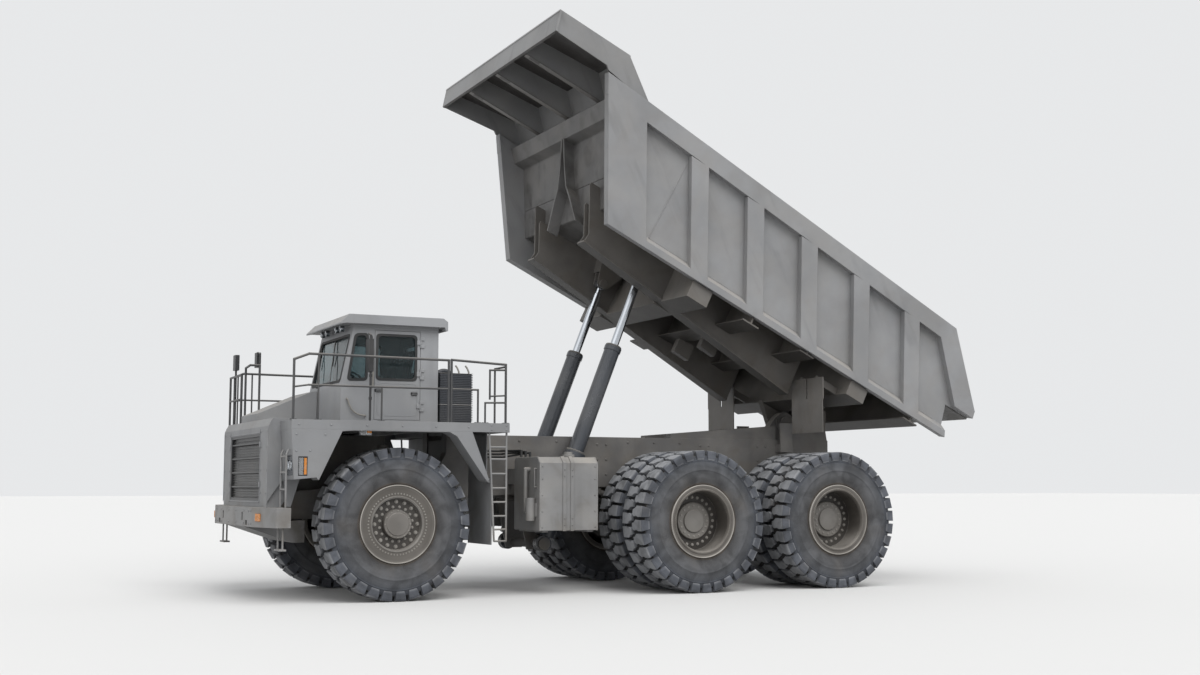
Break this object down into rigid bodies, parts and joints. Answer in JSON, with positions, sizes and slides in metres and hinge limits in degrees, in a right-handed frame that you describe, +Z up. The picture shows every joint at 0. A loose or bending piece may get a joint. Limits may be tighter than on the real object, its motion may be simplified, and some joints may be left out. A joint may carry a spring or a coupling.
{
  "type": "mining dump truck",
  "caption": "Rigid mining dump truck with a raised, ribbed load body and canopy, telescopic hoists, offset cab on a railed deck, and twin rear tyres on both driven axles",
  "frame": {"origin": "centre of the truck's outline in plan, on the ground", "axes": "X forward to the bumper, Y to the truck's left, Z up; load body raised at rest"},
  "size_m": [15.16, 6.12, 10.8615],
  "materials": {
    "body_paint": "light cool-grey paint, dusty",
    "chassis_paint": "darker grey paint, dusty",
    "black_paint": "near-black paint",
    "tyre_rubber": "dusty dark tread rubber",
    "rim_paint": "taupe-grey rim paint",
    "window_glass": "dark tinted glass",
    "rod_chrome": "polished chrome",
    "lamp_lens": "amber and clear lamp lenses",
    "cab_plastic": "dark matt cab trim",
    "seat_cloth": "dark woven seat cloth",
    "hose_rubber": "black hose rubber"
  },
  "bodies": {
    "chassis": {"frame": "chassis_paint", "bumper": "body_paint", "hood": "body_paint", "grille": "black_paint", "engine": "chassis_paint", "deck": "body_paint", "fender_left": "body_paint", "fender_right": "body_paint", "cab_shell": "body_paint", "cab_roof": "body_paint", "cab_glass": "window_glass", "cab_interior": "cab_plastic", "seat_pads": "seat_cloth", "air_cleaner": "black_paint", "handrail_left": "black_paint", "handrail_right": "black_paint", "ladders": "body_paint", "fuel_tank": "body_paint", "hydraulic_tank": "body_paint", "lamps": "lamp_lens", "mirrors": "black_paint", "front_struts": "chassis_paint", "rear_axles": "chassis_paint", "rear_struts": "chassis_paint", "driveshafts": "chassis_paint", "hoses": "hose_rubber"},
    "bed": {"bed_floor": "body_paint", "bed_beams": "body_paint", "bed_bolsters": "body_paint", "bed_front_wall": "body_paint", "bed_side_left": "body_paint", "bed_side_right": "body_paint", "bed_canopy": "body_paint", "bed_flaps": "body_paint"},
    "cab_door": {"door_left": "body_paint", "door_glass": "window_glass"},
    "steer_left": {"knuckle_left": "chassis_paint"},
    "steer_right": {"knuckle_right": "chassis_paint"},
    "steer_rod": {"tie_rod": "chassis_paint"},
    "wheel_front_left": {"tyre_front_left": "tyre_rubber", "rim_front_left": "rim_paint"},
    "wheels_mid_left": {"tyres_mid_left": "tyre_rubber", "rim_mid_left": "rim_paint"},
    "wheels_rear_left": {"tyres_rear_left": "tyre_rubber", "rim_rear_left": "rim_paint"},
    "barrel_left": {"hoist_barrel_left": "black_paint"},
    "tube_left": {"hoist_tube_left": "black_paint"},
    "rod_left": {"hoist_rod_left": "rod_chrome"},
    "wheel_front_right": {"tyre_front_right": "tyre_rubber", "rim_front_right": "rim_paint"},
    "wheels_mid_right": {"tyres_mid_right": "tyre_rubber", "rim_mid_right": "rim_paint"},
    "wheels_rear_right": {"tyres_rear_right": "tyre_rubber", "rim_rear_right": "rim_paint"},
    "barrel_right": {"hoist_barrel_right": "black_paint"},
    "tube_right": {"hoist_tube_right": "black_paint"},
    "rod_right": {"hoist_rod_right": "rod_chrome"}
  },
  "joints": [
    {"name": "bed_lower", "type": "hinge", "parent": "chassis", "child": "bed", "pos_m": [-4.77, 0, 3.44], "axis": [0, 1, 0], "range_deg": [0, 33.5]},
    {"name": "door_hinge", "type": "hinge", "parent": "chassis", "child": "cab_door", "pos_m": [4.644, 1.866, 4], "axis": [0, 0, 1], "range_deg": [0, 45]},
    {"name": "steer_left_kingpin", "type": "hinge", "parent": "chassis", "child": "steer_left", "pos_m": [5.18, 1.39, 1.3498], "axis": [0, 0, 1], "range_deg": [-30, 30]},
    {"name": "steer_right_kingpin", "type": "hinge", "parent": "chassis", "child": "steer_right", "pos_m": [5.18, -1.39, 1.3498], "axis": [0, 0, 1], "range_deg": [-30.1, 30.1]},
    {"name": "tie_rod_slide", "type": "slide", "parent": "chassis", "child": "steer_rod", "axis": [0, -1, 0], "range_m": [-0.2255, 0.2255]},
    {"name": "hoist_left_foot", "type": "hinge", "parent": "chassis", "child": "barrel_left", "pos_m": [1.78, 0.9, 0.9], "axis": [0, -1, 0], "range_deg": [0, 5.21]},
    {"name": "hoist_left_tube", "type": "slide", "parent": "barrel_left", "child": "tube_left", "axis": [0.3699, 0, -0.9291], "range_m": [0, 1.5053]},
    {"name": "hoist_left_rod", "type": "slide", "parent": "tube_left", "child": "rod_left", "axis": [0.3699, 0, -0.9291], "range_m": [0, 1.5053]},
    {"name": "wheel_front_left_spin", "type": "hinge", "parent": "steer_left", "child": "wheel_front_left", "pos_m": [5.18, 1.938, 1.3498], "axis": [0, 1, 0], "continuous": true},
    {"name": "wheels_mid_left_spin", "type": "hinge", "parent": "chassis", "child": "wheels_mid_left", "pos_m": [-0.676, 2.0225, 1.3498], "axis": [0, 1, 0], "continuous": true},
    {"name": "wheels_rear_left_spin", "type": "hinge", "parent": "chassis", "child": "wheels_rear_left", "pos_m": [-3.788, 2.0225, 1.3498], "axis": [0, 1, 0], "continuous": true},
    {"name": "hoist_right_foot", "type": "hinge", "parent": "chassis", "child": "barrel_right", "pos_m": [1.78, -0.9, 0.9], "axis": [0, -1, 0], "range_deg": [0, 5.21]},
    {"name": "hoist_right_tube", "type": "slide", "parent": "barrel_right", "child": "tube_right", "axis": [0.3699, 0, -0.9291], "range_m": [0, 1.5053]},
    {"name": "hoist_right_rod", "type": "slide", "parent": "tube_right", "child": "rod_right", "axis": [0.3699, 0, -0.9291], "range_m": [0, 1.5053]},
    {"name": "wheel_front_right_spin", "type": "hinge", "parent": "steer_right", "child": "wheel_front_right", "pos_m": [5.18, -1.938, 1.3498], "axis": [0, 1, 0], "continuous": true},
    {"name": "wheels_mid_right_spin", "type": "hinge", "parent": "chassis", "child": "wheels_mid_right", "pos_m": [-0.676, -2.0225, 1.3498], "axis": [0, 1, 0], "continuous": true},
    {"name": "wheels_rear_right_spin", "type": "hinge", "parent": "chassis", "child": "wheels_rear_right", "pos_m": [-3.788, -2.0225, 1.3498], "axis": [0, 1, 0], "continuous": true}
  ],
  "couplings": [
    {"joint": "steer_right_kingpin", "follows": "steer_left_kingpin", "ratio": 1},
    {"joint": "tie_rod_slide", "follows": "steer_left_kingpin", "m_per_rad": 0.42972},
    {"joint": "hoist_left_foot", "follows": "bed_lower", "ratio": 0.15398},
    {"joint": "hoist_left_tube", "follows": "bed_lower", "m_per_rad": 2.5728},
    {"joint": "hoist_left_rod", "follows": "bed_lower", "m_per_rad": 2.5728},
    {"joint": "hoist_right_foot", "follows": "bed_lower", "ratio": 0.15398},
    {"joint": "hoist_right_tube", "follows": "bed_lower", "m_per_rad": 2.5728},
    {"joint": "hoist_right_rod", "follows": "bed_lower", "m_per_rad": 2.5728}
  ]
}
